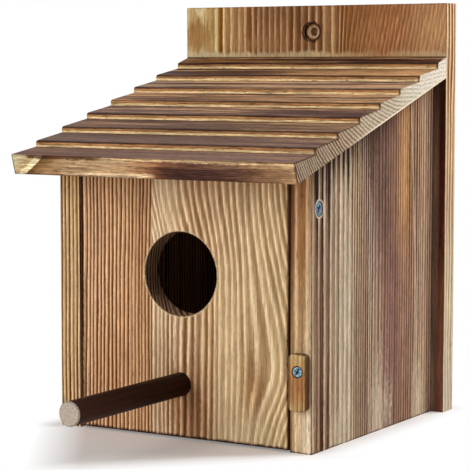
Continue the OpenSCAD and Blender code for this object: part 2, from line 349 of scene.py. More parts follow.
# The hanging hole: a charred rim, a near-black counterbore, burnt and with painted shade, and a pale bore.
mounts = {mount["name"]: mount["pos_m"] for mount in frame["record"]["mounts"]}
radius = from_axis(board, 0, mounts["hanging_hole"][2] * 1000)
rim = put("MapRange", put("Math ADD", radius, board.ragged), 6.1, 5.5)
colour = put("Mix RGBA", put("Math MULTIPLY", rim, faces(board, "depth", -1)), colour, "#3A2113")
# Painted shade: the counterbore's walls are drawn near black, with the burn.
hole = banded(board, radius, [
    (2.3, "#6E4A30"), (2.5, "#D2B08A"), (3.5, "#C8A47C"), (3.8, "#7B5436"), (4.9, "#2C190F"),
    (5.3, "#23130B")])
sunk = put("MapRange", board.depth, 0.2, 0.6)
sunk = put("Math MULTIPLY", sunk, put("MapRange", board.depth, thickness - 0.2, thickness - 0.6))
colour = put("Mix RGBA", put("Math MULTIPLY", sunk, put("MapRange", radius, 5.4, 5.2)), colour, hole)
finish_timber(board, colour, line)
eased(dress("back_board", board.material))


# ---- Side walls -------------------------------------------------------------------------------
# Two softwood boards cut to the roof's slope. On the right one the torch left brown bands between
# pale lines near the front, a bare field, then purple-brown and orange wood toward the back.

roof_slope = math.radians(16.5)

# Flamed softwood: the ridges catch the light in fine pale lines, and nothing on it is glossy.
board = timber("flamed_right_wall", "y", "z", "x", (wall_high.x, 0, 0), flip="x")
put = board.put
place = put("Math MULTIPLY_ADD", board.depth, 0.6, wandered(board, 21, 0.6, 0.2))
counts = [
    (-84, 0), (-67.5, 3), (-61.5, 4), (-55, 5), (-47, 6.6), (-31, 10), (-9, 19), (6, 23), (62, 43), (90, 53)]
pale_lines = ringed(board, place, counts, 22, 0.36, 0.15, 0.3, 1.7)
dark_lines = ringed(board, place, counts, 22, 0.62, 0.2, 0.6, 1.9)
sub_line = put("MapRange", streaks(board, 1.0, 110, 27, 3.0, 0.6), 0.36, 0.58, 0.6, 1.12)
pale_lines = put("Math MULTIPLY", pale_lines, sub_line)
line = put("Mix FLOAT", put("MapRange", board.across, -50, -42), pale_lines, dark_lines)
# The tones of the pale and dark lines from front to back, high on the board and low on it.
streaky = put("Math MULTIPLY_ADD", board.ragged, 4.0, board.across)
high_pale = banded(board, streaky, [
    (-73.5, "#B29C82"), (-60, "#C6AF96"), (-50, "#CCB69B"), (-41, "#D2BDA1"), (-33, "#CCB89C"),
    (-26, "#B59B7F"), (-16, "#AB8C76"), (-10, "#A78A7A"), (-5, "#85685A"), (4, "#866A5B"),
    (9, "#967665"), (14, "#8B6855"), (19, "#AE8769"), (24, "#C0946C"), (29, "#C89B6C"), (34, "#A07656"),
    (40, "#AA8468"), (44, "#BC9B80"), (54, "#BC9A7E"), (62, "#B5937B")])
high_dark = banded(board, streaky, [
    (-73.5, "#7A5C40"), (-69, "#46290F"), (-62, "#442710"), (-54, "#4E2E14"), (-46, "#80654B"),
    (-41, "#A38B71"), (-36, "#A88F75"), (-30, "#7E6448"), (-22, "#5C3F2C"), (-15, "#432516"),
    (-10, "#3C2116"), (-5, "#62463B"), (4, "#614639"), (9, "#6B4C3F"), (14, "#6C4733"), (19, "#77523A"),
    (24, "#8C6140"), (29, "#966842"), (34, "#5C3A20"), (41, "#543628"), (46, "#7E5C46"),
    (54, "#845F46"), (62, "#4D3A27")])
low_pale = banded(board, streaky, [
    (-73.5, "#B79C82"), (-66, "#9A7C66"), (-60, "#BEA58C"), (-50, "#C6AF94"), (-41, "#D0BFA4"),
    (-33, "#C8B69C"), (-26, "#A3896F"), (-16, "#A38870"), (-11, "#B9A08A"), (-5, "#AE947E"),
    (1, "#AA8C78"), (6, "#967463"), (14, "#937265"), (24, "#A07D67"), (34, "#A07C66"), (40, "#B2937B"),
    (48, "#C4AA8E"), (54, "#C4A388"), (62, "#B1947B")])
low_dark = banded(board, streaky, [
    (-73.5, "#80644A"), (-66, "#57371C"), (-60, "#5C432C"), (-50, "#846D54"), (-41, "#A29076"),
    (-33, "#95806A"), (-26, "#765C45"), (-16, "#5E452F"), (-11, "#6B503B"), (-5, "#7F624E"),
    (1, "#866553"), (6, "#755343"), (14, "#6A483D"), (24, "#805D48"), (34, "#603F2C"), (40, "#63442F"),
    (48, "#927560"), (54, "#8C6A52"), (62, "#5E4933")])
height = put("Math MULTIPLY_ADD", board.ragged, 14.0, board.along)
falling = put("MapRange", height, 118, 70)
pale = put("Mix RGBA", falling, high_pale, low_pale)
dark = put("Mix RGBA", falling, high_dark, low_dark)
colour = scorched(board, grained(board, line, pale, dark), [
    ((4, 118), (9, 50), 0.35, "#5F4038"), ((-9, 154), (10, 44), 0.75, "#43281E"),
    ((17, 60), (6, 46), 0.35, "#6B4840"), ((27, 128), (7, 40), 0.4, "#BE8D5A"),
    ((-1, 4), (15, 42), 0.85, "#C6B49C"), ((-44, 6), (13, 24), 0.6, "#C6B498"),
    ((-40, 60), (8, 90), 0.35, "#BBAB92"), ((47, 0), (9, 36), 0.8, "#D0BFA2"),
    ((40, 4), (3, 30), 0.6, "#CDB698"), ((57, 22), (5, 60), 0.4, "#7D604B")])
# A pale pitch line runs up the board, and soot with painted shade lies under the roof, thickest at the
# front.
pitch_line = counted(board, board.along, [(0, 41.5), (68, 42), (133, 37.2), (182, 34)])
pitch_line = put("Math ABSOLUTE", put("Math SUBTRACT", board.across, pitch_line))
pitch_line = put("MapRange", put("Math MULTIPLY_ADD", board.ragged, 0.3, pitch_line), 1.0, 0.4)
colour = put("Mix RGBA", put("Math MULTIPLY", pitch_line, 0.7), colour, "#CDB296")
# Painted shade with the soot: the wall darkens toward the roof's edge above it, most at the front.
below_roof = put("Math MULTIPLY_ADD", board.across, -math.tan(roof_slope), board.along)
soot_and_shade = put("MapRange", put("Math MULTIPLY_ADD", board.ragged, 10.0, below_roof), 142, 164)
soot_and_shade = put("Math MULTIPLY", soot_and_shade, put("MapRange", board.across, 24, 12))
colour = put("Mix RGBA", put("Math MULTIPLY", soot_and_shade, 0.5), colour, "#3C1E12")
smoke_and_shade = put("Math SUBTRACT", 215.0, below_roof)
smoke_and_shade = put("Math MULTIPLY_ADD", streaks(board, 2.0, 90, 24), -100.0, smoke_and_shade)
smoke_and_shade = put("MapRange", smoke_and_shade, 26, 10)
smoke_and_shade = put("Math MULTIPLY", smoke_and_shade, put("MapRange", board.across, -6, -26))
smoke_and_shade = put("Math MULTIPLY", smoke_and_shade, put("MapRange", line, 0.0, 0.5, 0.1, 1.0))
colour = put("Mix RGBA", smoke_and_shade, colour, "#2A1406")
# The pivot screw's countersink tore the scorched skin off in a pale ring.
low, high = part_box("right_pivot_screw")
middle = (low + high) * 500
torn = put("Math MULTIPLY_ADD", board.ragged, 0.5, from_axis(board, middle.y, middle.z))
colour = put("Mix RGBA", put("MapRange", torn, 5.0, 4.3), colour, "#C9BBA6")
# The front edge shows the board's own layers, burnt at the top and cleaner toward the foot.
edge_lines = strayed(board, board.depth, 0.6, 1.2, 60, 25)
edge_high = banded(board, edge_lines, [
    (0.3, "#957350"), (0.9, "#A98762"), (2.0, "#B8946D"), (2.6, "#E6C09A"), (3.2, "#DDB78F"),
    (3.8, "#A37A50"), (4.6, "#97693F"), (6.6, "#A17348"), (7.9, "#A5794E"), (8.5, "#D0A67C"),
    (9.1, "#DDB38B"), (9.7, "#9C734D"), (10.3, "#7B5433"), (12, "#6A4530")])
edge_middle = banded(board, edge_lines, [
    (0.3, "#8C7150"), (0.9, "#C4AA84"), (2.0, "#C9AE84"), (2.6, "#E2C59B"), (3.2, "#E2C59B"),
    (3.8, "#BA9A72"), (4.6, "#A5845C"), (6.6, "#A9805A"), (7.9, "#B58F64"), (8.5, "#DCBA8F"),
    (9.1, "#EAC89C"), (9.7, "#B8946A"), (10.3, "#936F45"), (12, "#8C6A4A")])
edge_low = banded(board, edge_lines, [
    (0.3, "#9F8464"), (0.9, "#DCC8A8"), (2.0, "#E8D4B6"), (3.2, "#E6D0AE"), (4.6, "#D8BE98"),
    (7.9, "#D4B890"), (8.7, "#F0D3A9"), (9.5, "#D8B88F"), (10.3, "#B29067"), (12, "#A07E56")])
edge = put("Mix RGBA", put("MapRange", height, 100, 72), edge_high, edge_middle)
edge = put("Mix RGBA", put("MapRange", height, 56, 34), edge, edge_low)
edge = put("VectorMath SCALE", edge, put("MapRange", streaks(board, 0.9, 46, 26), 0.35, 0.65, 0.78, 0.98))
colour = put("Mix RGBA", faces(board, "across", -1), colour, edge)
thickness = wall_high.x - wall_low.x
singe = singed(board, (board.depth, thickness), (board.depth, 0), width=0.6)
singe = put("Math MULTIPLY", singe, faces(board, "across", -1))
colour = put("Mix RGBA", put("Math MULTIPLY", singe, 0.6), colour, "#4A2E19")
# Painted shade: a dark ragged line along the wall's foot, as a contact shadow on the table.
singe = singed(board, (board.along, 0), width=0.9)
colour = put("Mix RGBA", put("Math MULTIPLY", singe, 0.75), colour, "#3E2A1C")
finish_timber(board, colour, line, fuzz=1.3)
eased(dress("right_wall", board.material))

# The same wood and the same flame on the left, browner and with fewer bare places.
board = timber("flamed_left_wall", "y", "z", "x", (corner_of("left_wall").x, 0, 0))
put = board.put
place = put("Math MULTIPLY_ADD", board.depth, 1.05, wandered(board, 31, 1.6, 0.5))
line = ringed(board, place, [(-74, 0), (-30, 19), (-10, 26), (22, 34), (80, 55)], 32, 0.6, crisp=2.2)
pale = banded(board, board.across, [
    (-73.5, "#CFAD80"), (-40, "#CFAE86"), (-12, "#C4A07A"), (10, "#B08A68"), (40, "#BC9874"),
    (61.5, "#A5846F")])
dark = banded(board, board.across, [
    (-73.5, "#7F5B32"), (-40, "#8A653F"), (-12, "#74502F"), (10, "#664430"), (40, "#7A583A"),
    (61.5, "#5A3F2C")])
colour = scorched(board, grained(board, line, pale, dark), [
    ((4, 120), (16, 60), 0.6, "#6E4B40"), ((30, 40), (16, 60), 0.5, "#7A5445"),
    ((-44, 30), (14, 70), 0.5, "#C9B795"), ((46, 150), (12, 50), 0.5, "#8F5F3A")],
    within=faces(board, "depth", -1))
finish_timber(board, colour, line)
eased(dress("left_wall", board.material))


# ---- Floor board ------------------------------------------------------------------------------
# A plain softwood board, planed and left bare, let in between the walls with four drain holes.
# The torch never reached it, so it shows an even yellow-brown with soft, slightly darker rings.

board = timber("plain_floor_board", "y", "x", "z", (0, 0, 0))
place = wandered(board, 41, 2.5, 0.8)
line = ringed(board, place, [(-74, 0), (-20, 16), (62, 44)], 42)
colour = grained(board, line, "#D0B186", "#A87F51")
finish_timber(board, colour, line)
eased(dress("floor_board", board.material))


# ---- Front panel ------------------------------------------------------------------------------
# The clean-out front, glued up from two staves: a narrow one with close upright rings on the
# left, and a broad one whose rings fan out from the seam and bend round a knot beside the button.

# Planed and flamed lightly: a warm pale face with brown rings, and a step of tone at the seam.
low, high = (corner * 1000 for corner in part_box("front_panel"))
board = timber("flamed_front_panel", "x", "z", "y", (0, low.y, 0))
put = board.put
place = put("Math MULTIPLY_ADD", board.depth, 0.9, wandered(board, 51, 1.5, 0.75))
place = put("Math MULTIPLY_ADD", board.along, -0.012, place)
narrow_stave = ringed(board, place, [(-64, 0), (-30, 13.9), (-22, 17.7), (0, 29)], 52, 0.58, 0.3, 0.6, 1.8)
fan = put("MapRange", board.along, 134, 84, 0.0, -10.0, interpolation_type="SMOOTHSTEP")
fan = put("Math MULTIPLY", fan, put("MapRange", board.across, 15, 40, 1.0, 0.3))
# The knot's height, and how far it bends the rings above and below it.
knot_height, knot_above, knot_below = 40, 54, 30
rise = put("Math SUBTRACT", board.along, knot_height)
below = put("Math MULTIPLY", rise, -1 / knot_below)
rise = put("Math MAXIMUM", put("Math MULTIPLY", rise, 1 / knot_above), below)
spot = put("CombineXYZ", put("MapRange", board.across, 0, 62, -3.1, 0), rise, 0.0)
knot = put("Math EXPONENT", put("Math MULTIPLY", put("VectorMath DOT_PRODUCT", spot, spot), -1.0))
bent = put("Math MULTIPLY_ADD", knot, -13.5, put("Math ADD", place, fan))
counts = [(-40, 0), (-30, 4), (-15, 10), (9, 15.8), (38, 23), (62, 30.4), (80, 36)]
broad_stave = ringed(board, bent, counts, 53, 0.44, 0.12, 0.5, 1.35, 0.75)
seam = -17.8
right_stave = put("MapRange", board.across, seam - 0.1, seam + 0.1)
line = put("Mix FLOAT", right_stave, narrow_stave, broad_stave)
pale = banded(board, board.across, [
    (-62, "#DAB08A"), (-41, "#E2B88F"), (-25, "#D0A67C"), (-17.9, "#CEA47B"), (-17.7, "#EACEAA"),
    (0, "#E6C8A0"), (12, "#DCB992"), (25, "#DEC097"), (45, "#E0C59B"), (62, "#DABF94")])
high_dark = banded(board, board.across, [
    (-62, "#6B431C"), (-47, "#7F582C"), (-39, "#764E24"), (-17.9, "#6F4720"), (-17.7, "#A08059"),
    (-7, "#AC8F69"), (1, "#96714A"), (9, "#88623C"), (25, "#805A34"), (33, "#7E5A33"), (41, "#916E47"),
    (50, "#9D7D54"), (62, "#92744C")])
low_dark = banded(board, board.across, [
    (-62, "#6F461A"), (-47, "#794E23"), (-31, "#83572A"), (-17.9, "#774D24"), (-17.7, "#997651"),
    (-7, "#85613D"), (9, "#74502D"), (17, "#8A643E"), (27, "#A3875C"), (34, "#A1855A"), (41, "#87643C"),
    (50, "#957349"), (62, "#A1845A")])
dark = put("Mix RGBA", put("MapRange", board.along, 108, 66), high_dark, low_dark)
colour = grained(board, line, pale, dark)
colour = put("VectorMath MAXIMUM", colour, linear("#60391A")[:3])
colour = scorched(board, colour, [
    ((4, 14), (15, 46), 0.7, "#B58462"), ((-12, 28), (9, 44), 0.4, "#CDA68A"),
    ((-48, 104), (16, 40), 0.12, "#C48F66"), ((-26, 92), (8, 60), 0.3, "#B98A66"),
    ((-42, 20), (24, 60), 0.5, "#DCC6B4"), ((41, 32), (9, 26), 1.0, "#DDCBBC")],
    ragged=0.6, blend="MULTIPLY")
colour = scorched(board, colour, [
    ((40, 4), (24, 18), 0.4, "#CDB891"), ((-6, 122), (12, 22), 0.3, "#CDB48C")], ragged=0.6)
# The entrance hole: a torn pale rim, a darker lip and a bore that is in shade at its top.
openings = {opening["name"]: opening["box_m"] for opening in frame["record"]["physics"]["openings"]}
middle = (Vector(openings["entrance_hole"][0]) + Vector(openings["entrance_hole"][1])) * 500
entrance_radius = 21.4
radius = from_axis(board, middle.x, middle.z)
torn = put("Math MULTIPLY_ADD", put("TexNoise", board.grain, 0.9, 2.0), 3.0, put("Math ADD", radius, -1.5))
torn = put("MapRange", torn, entrance_radius + 1.2, entrance_radius + 0.5)
colour = put("Mix RGBA", put("Math MULTIPLY", torn, 0.6), colour, "#D2BA92")
lip = put("Math MULTIPLY_ADD", put("TexNoise", board.grain, 1.3, 2.0), 2.6, put("Math ADD", radius, -1.3))
lip = put("MapRange", lip, entrance_radius + 0.5, entrance_radius + 0.1)
colour = put("Mix RGBA", put("Math MULTIPLY", lip, 0.8), colour, "#5E412B")
lower = put("MapRange", board.along, middle.z - 8, middle.z - 19)
bore = put("Mix FLOAT", lower, put("Math MULTIPLY_ADD", line, 0.35, 0.75), line)
bore = grained(board, bore, "#C49C7A", "#58402F")
in_bore = put("MapRange", radius, entrance_radius + 0.3, entrance_radius + 0.1)
in_bore = put("Math MULTIPLY", in_bore, put("MapRange", board.depth, 0.1, 0.5))
# The flame got into the joints round the panel and faded over half its thickness. The same dark rims are
# also painted shade in the gaps beside the walls, and along the foot a painted contact shadow.
singe = singed(board, (board.across, low.x), (board.across, high.x), (board.along, low.z), width=1.8)
into_joint = put("MapRange", put("Math MULTIPLY_ADD", board.ragged, 3.0, board.depth), 2.0, 6.5, 0.98, 0.3)
colour = put("Mix RGBA", put("Math MULTIPLY", singe, into_joint), colour, "#2C0D03")
# Painted shade: the upper part of the panel's right edge is darkened where the gap beside the wall is in
# shade.
colour = scorched(board, colour, [((64, 122), (4, 60), 1.0, "#4A2D1A")], 0.7, 0.2)
colour = put("Mix RGBA", in_bore, colour, bore)
end_grain = put("Mix RGBA", in_bore, put("Mix RGBA", line, "#A88A66", "#725438"), bore)
finish_timber(board, colour, line, end_grain, ridge=0.04)
eased(dress("front_panel", board.material), 0.3)


# ---- Perch ------------------------------------------------------------------------------------
# A hardwood dowel let into the front panel. Its stain makes it nearly black; toward the free end it is
# painted browner, as painted light. That end is sawn off and shows bare grey-brown wood with fine checks.

low, high = (corner * 1000 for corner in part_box("perch"))
board = timber("stained_perch", "x", "y", "z", ((low.x + high.x) / 2, low.y, (low.z + high.z) / 2))
put = board.put
line = put("MapRange", streaks(board, 1.6, 60, 71, 3.0), 0.3, 0.7)
colour = put("Mix RGBA", line, "#2F150C", "#150803")
# Painted light: the dowel turns browner toward its free end, where more light falls.
painted_light_to_end = put("MapRange", put("Math MULTIPLY_ADD", board.ragged, 14.0, board.along), 60, 6, 0.0, 0.4)
colour = put("Mix RGBA", painted_light_to_end, colour, "#42241A")
spot = put("VectorMath MULTIPLY", board.grain, (0.7, 2.2, 0.0))
check = put("MapRange", put("TexNoise", spot, 1.0, 3.0, 0.65), 0.40, 0.56)
end_grain = put("Mix RGBA", check, "#9F9180", "#BCB0A1")
finish_timber(board, colour, put("Math MULTIPLY", line, 0.5), end_grain, 0.5, 0.8, 0.05)
eased(dress("perch", board.material), 0.3)


# ---- Roof board -------------------------------------------------------------------------------
# One softwood plank milled in eight treads and flamed hard: purple-brown treads, orange risers with
# a pale foot and a black lip, and sawn ends where the rings lean further over toward the back.

# Its directions start on its underside, where that meets the walls' front edges.
wall_front_height = 142.0
first_lip, lip_pitch, lip_height, foot_height = -7.8, 23.5, 10.6, 7.7
corner = (0, corner_of("front_panel").y, wall_front_height)
board = timber("burnt_roof_board", "y", "x", "z", corner, roof_slope)
put = board.put
half_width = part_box("roof_board")[1].x * 1000
across = strayed(board, board.across, 2.5, 40, 150, 60, 1.0)
angle = counted(board, board.across, [
    (-30, 0.29), (0, 0.50), (20, 0.60), (45, 0.72), (80, 0.85), (140, 0.88)])
place = counted(board, across, [
    (-34, 0), (-8, 24.7), (20, 45.7), (45, 60.7), (80, 76.5), (110, 84.9), (146, 90.7)])
place = put("Math MULTIPLY_ADD", board.depth, angle, place)
line = ringed(board, place, [(0, 0), (130, 68)], 62, 0.68, 0.35, 0.25, 1.7)
# The treads from the front: each one's tone on its left and on its right, under ragged streaks.
tread_tones = (
    ("#77594E", "#82655A"), ("#735A50", "#7F6255"), ("#6F5348", "#967458"), ("#735950", "#5F433C"),
    ("#90694E", "#A8825F"), ("#A3826A", "#B08C70"), ("#4F362C", "#B98A5C"), ("#9C6C42", "#6A4634"))
sides = []
for end in (0, 1):
    stops = []
    for number, tones in enumerate(tread_tones):
        lip = first_lip + lip_pitch * (number - 1)
        stops += [(lip, tones[end]), (lip + lip_pitch - 0.01, tones[end])]
    sides.append(banded(board, board.across, stops))
rightward = put("MapRange", put("Math MULTIPLY_ADD", board.ragged, 30.0, board.along), -30, 50)
tread = put("Mix RGBA", rightward, *sides)
tread = put("VectorMath SCALE", tread, put("MapRange", line, 0.0, 1.0, 0.96, 0.56))
ribbon = streaks(board, 4.4, 120, 63, 3.0, 0.7)
lively = put("MapRange", put("Math MULTIPLY_ADD", board.along, 0.3, board.across), -10, 60, 0.12, 0.85)
light_streak = put("Math MULTIPLY", put("MapRange", ribbon, 0.53, 0.59), lively)
tread = put("Mix RGBA", light_streak, tread, "#BE9268")
dark_streak = put("Math MULTIPLY", put("MapRange", ribbon, 0.48, 0.41), put("Math ADD", lively, 0.1))
tread = put("Mix RGBA", dark_streak, tread, "#3A231C")
# The risers, from their pale foot to the black lip, and dark rims on the treads behind each lip and in the
# corner at each riser's foot.
step = put("Math FRACT", put("Math MULTIPLY_ADD", board.across, 1 / lip_pitch, -first_lip / lip_pitch))
step = put("Math MULTIPLY", step, lip_pitch)
rims = banded(board, put("Math MULTIPLY_ADD", board.ragged, 0.7, step), [
    (0, 0.9), (0.7, 0.8), (1.5, 0.0), (20.4, 0.0), (21.9, 0.7), (lip_pitch, 0.8)])
heavy = put("MapRange", streaks(board, 30, 70, 68), 0.36, 0.6, 0.35, 1.0)
wavy = strayed(board, board.depth, 0.6, 3, 45, 65)
riser = banded(board, wavy, [
    (7.3, "#5A3C26"), (7.6, "#E8C691"), (8.6, "#EACB98"), (8.9, "#9A6E42"), (9.1, "#A9784A"),
    (9.7, "#B38152"), (9.95, "#4E301C"), (10.3, "#1C100A")])
right_end = put("MapRange", board.along, half_width - 1.5, half_width - 0.7)
riser = put("Mix RGBA", put("Math MULTIPLY", right_end, 0.8), riser, "#2A180E")
steep = faces(board, "across", -1)
colour = put("Mix RGBA", steep, tread, riser)
flat = put("Math MULTIPLY", faces(board, "depth"), put("MapRange", board.depth, 6.8, 7.2))
rims = put("Math MULTIPLY", put("Math MULTIPLY", rims, heavy), flat)
colour = put("Mix RGBA", rims, colour, "#33201A")
# The front edge: a lower and an upper band, a pale strip under the lip and a torn left corner, with a
# painted shadow beside the tear.
wavy = strayed(board, board.depth, 4.5, 2.5, 40, 66)
spread = put("Math MULTIPLY_ADD", board.ragged, 4.0, board.along)
upper = banded(board, spread, [
    (-82, "#C7B190"), (-60, "#A5825A"), (-50, "#A88863"), (-38, "#BE9E76"), (-20, "#C6A67E"),
    (-8, "#B88E66"), (2, "#96694A"), (10, "#6F4A36"), (32, "#6B4A3A"), (46, "#80604A"), (60, "#9C7856"),
    (82, "#B8956C")])
lower = banded(board, spread, [
    (-82, "#CDBD9B"), (-60, "#A07C54"), (-50, "#B6946E"), (-29, "#BC9B74"), (-14, "#BA946C"),
    (-4, "#A0744F"), (4, "#70452F"), (8, "#482D24"), (31, "#452C26"), (48, "#573A2E"), (60, "#6E4D39"),
    (72, "#8B6849"), (82, "#A8845F")])
front = put("Mix RGBA", put("MapRange", wavy, 5.4, 7.2), lower, upper)
strip = put("MapRange", put("Math MULTIPLY_ADD", board.ragged, 1.6, board.depth), 8.7, 9.3)
shares = counted(board, spread, [(-24, 0), (-4, 0.9), (58, 0.9), (66, 0.2), (82, 0.9001)])
strip = put("Math MULTIPLY", strip, shares)
front = put("Mix RGBA", strip, front, "#DDBB8C")
wedge = put("Math MULTIPLY_ADD", board.ragged, 1.6, board.along)
wedge = put("Math MULTIPLY_ADD", board.depth, -1.4, wedge)
# The tear: a pale chip, and to its right a dark brown band that is painted shadow.
torn = banded(board, wedge, [
    (-100, "#D6C9A6"), (-88, "#CCB88E"), (-83, "#B99D70"), (-81.5, "#BFA578"), (-80.5, "#E6D3A6"),
    (-76.6, "#EDDBAE"), (-76.0, "#6C4B28"), (-71, "#8A6740"), (-64, "#A88660")])
front = put("Mix RGBA", put("MapRange", wedge, -64, -68), front, torn)
saw_lines = streaks(board, 1.0, 22, 67, 3.0, 0.6)
front = put("VectorMath SCALE", front, put("MapRange", saw_lines, 0.3, 0.7, 0.82, 1.18))
scorch = put("Math MULTIPLY", put("MapRange", spread, -74, -70), put("MapRange", spread, -24, -32))
below_lip = put("Math MULTIPLY_ADD", board.ragged, 1.4, board.depth)
scorch = put("Math MULTIPLY", scorch, put("MapRange", below_lip, 8.4, 9.2))
front = put("Mix RGBA", put("Math MULTIPLY", scorch, 0.85), front, "#43220F")
cut_low = put("Math MULTIPLY", put("MapRange", board.along, -56, -34), put("MapRange", board.along, 4, -2))
above_foot = put("Math MULTIPLY_ADD", board.ragged, 1.0, board.depth)
cut_low = put("Math MULTIPLY", cut_low, put("MapRange", above_foot, 2.4, 1.5))
front = put("Mix RGBA", cut_low, front, "#E3C59C")
in_front = put("Math MULTIPLY", steep, put("MapRange", board.across, -24, -25))
colour = put("Mix RGBA", in_front, colour, front)
outward = put("Math ABSOLUTE", board.along)
singe = singed(board, (board.depth, 0), (board.depth, lip_height), (outward, half_width), width=0.9)
singe = put("Math MULTIPLY", singe, in_front)
colour = put("Mix RGBA", put("Math MULTIPLY", singe, 0.75), colour, "#4A2E1E")
under = grained(board, line, "#C6A075", "#7C5634")
colour = put("Mix RGBA", faces(board, "depth", -1), colour, under)
# The sawn ends: pale rings toward the back, grey-brown and charred toward the front.
saw_pale = banded(board, board.across, [
    (-30, "#AF9B84"), (0, "#B39D83"), (24, "#C0AA8E"), (50, "#CFBFA4"), (78, "#D9CDB5"),
    (92, "#E4DAC6"), (140, "#F6EDDC")])
saw_dark = banded(board, board.across, [
    (-30, "#5C4738"), (10, "#5F4838"), (30, "#7C6149"), (50, "#927D62"), (78, "#AC9B80"),
    (92, "#C6B9A0"), (110, "#D6CBB6"), (140, "#E0D6C2")])
end_grain = grained(board, line, saw_pale, saw_dark)
speckle = put("TexNoise", board.grain, 1.1, 2.0)
end_grain = put("VectorMath SCALE", end_grain, put("MapRange", speckle, 0.36, 0.64, 0.8, 1.2))
lowest = put("Math MULTIPLY", put("MapRange", board.depth, 1.0, 0.6), put("MapRange", board.across, 20, 60))
end_grain = put("Mix RGBA", lowest, end_grain, "#FBEBD0")
tooth_top = put("MapRange", step, 0.0, lip_pitch - 1, lip_height, foot_height)
charred = put("MapRange", put("Math SUBTRACT", tooth_top, board.depth), 0.8, 0.4)
charred = put("Math MAXIMUM", charred, put("MapRange", board.across, -28.6, -29.0))
charred = put("Math MULTIPLY", charred, put("MapRange", board.across, 20, 80, 0.8, 0.1))
end_grain = put("Mix RGBA", charred, end_grain, "#3B281C")
finish_timber(board, colour, line, end_grain, fuzz=1.9)
eased(dress("roof_board", board.material), 0.3)


# ---- Turn button ------------------------------------------------------------------------------
# A slip of softwood with rounded corners that hangs open from one screw in the right wall's front
# edge. It is scorched brown, with a dark rim and paler ends.

low, high = (corner * 1000 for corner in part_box("turn_button"))
board = timber("scorched_turn_button", "x", "z", "y", tuple(low))
put = board.put
line = ringed(board, wandered(board, 81, 0.6, 0.3), [(-20, 0), (20, 17)], 82, 0.6)
length = high.z - low.z
pale = banded(board, board.along, [
    (0, "#C0A271"), (6, "#B08655"), (16, "#AE8052"), (21, "#BF9460"), (length, "#CDB07C")])
dark = banded(board, board.along, [
    (0, "#8A6A40"), (6, "#875B34"), (16, "#8A5E38"), (21, "#98703F"), (length, "#9A7B4C")])
colour = grained(board, line, pale, dark)
colour = scorched(board, colour, [((4.8, 12), (6, 8), 0.5, "#8F5A38")], ragged=0.6)
singe = singed(board, (board.across, 0), (board.across, high.x - low.x),
               (board.along, 0), (board.along, length), width=0.8)
colour = put("Mix RGBA", put("Math MULTIPLY", singe, 0.7), colour, "#4E331D")
side = put("Math MAXIMUM", faces(board, "across", 0), faces(board, "along", 0))
colour = put("Mix RGBA", put("Math MULTIPLY", side, 0.8), colour, "#4E321C")
finish_timber(board, colour, line, put("Mix RGBA", line, "#7C5A38", "#4A3220"))
eased(dress("turn_button", board.material), 0.5)


# ---- Screws -----------------------------------------------------------------------------------
# Countersunk wood screws of zinc-plated steel with a bluish passivation: a cross recess, a short
# smooth neck and a rolled thread. Six go in from behind, and the panel and the button turn on three.

# The plating is bright on the rims and mottled blue and grey on the faces. The mottling is drawn
# about a millimetre wide, coarser than the real one, so that it shows.
zinc = bpy.data.materials.new("blue_zinc_plate")
put = emptied(zinc)
spot = put("TexCoord", out=3)
mottle = put("TexNoise", spot, 900.0, 3.0, 0.6)
colour = put("Mix RGBA", put("MapRange", mottle, 0.42, 0.58), "#86A2B2", "#34495A")
scratch = put("TexNoise", put("VectorMath MULTIPLY", spot, (3000, 900, 1500)), 1.0, 2.0)
bump = put("Bump", 0.35, 0.0005, None, scratch)
roughness = put("MapRange", mottle, 0.3, 0.7, 0.26, 0.48)
put("OutputMaterial", put("BsdfPrincipled", colour, 1.0, roughness, None, None, bump))


def skinned(name, rings, tip=None):
    """A closed mesh through rings of places in millimetres. It ends at the tip, or in a flat face."""
    shape = bmesh.new()
    rings = [[shape.verts.new(Vector(spot) / 1000) for spot in ring] for ring in rings]
    pairs = [(number, (number + 1) % len(rings[0])) for number in range(len(rings[0]))]
    for upper, lower in zip(rings, rings[1:]):
        for here, after in pairs:
            shape.faces.new((upper[here], lower[here], lower[after], upper[after]))
    if tip:
        tip = shape.verts.new(Vector(tip) / 1000)
        for here, after in pairs:
            shape.faces.new((rings[-1][here], tip, rings[-1][after]))
    else:
        shape.faces.new(rings[-1])
    shape.faces.new(rings[0])
    bmesh.ops.recalc_face_normals(shape, faces=shape.faces)
    mesh = bpy.data.meshes.new(name)
    shape.to_mesh(mesh)
    shape.free()
    return mesh


def placed(name, data):
    """A new object in the scene."""
    made = bpy.data.objects.new(name, data)
    bpy.context.scene.collection.objects.link(made)
    return made


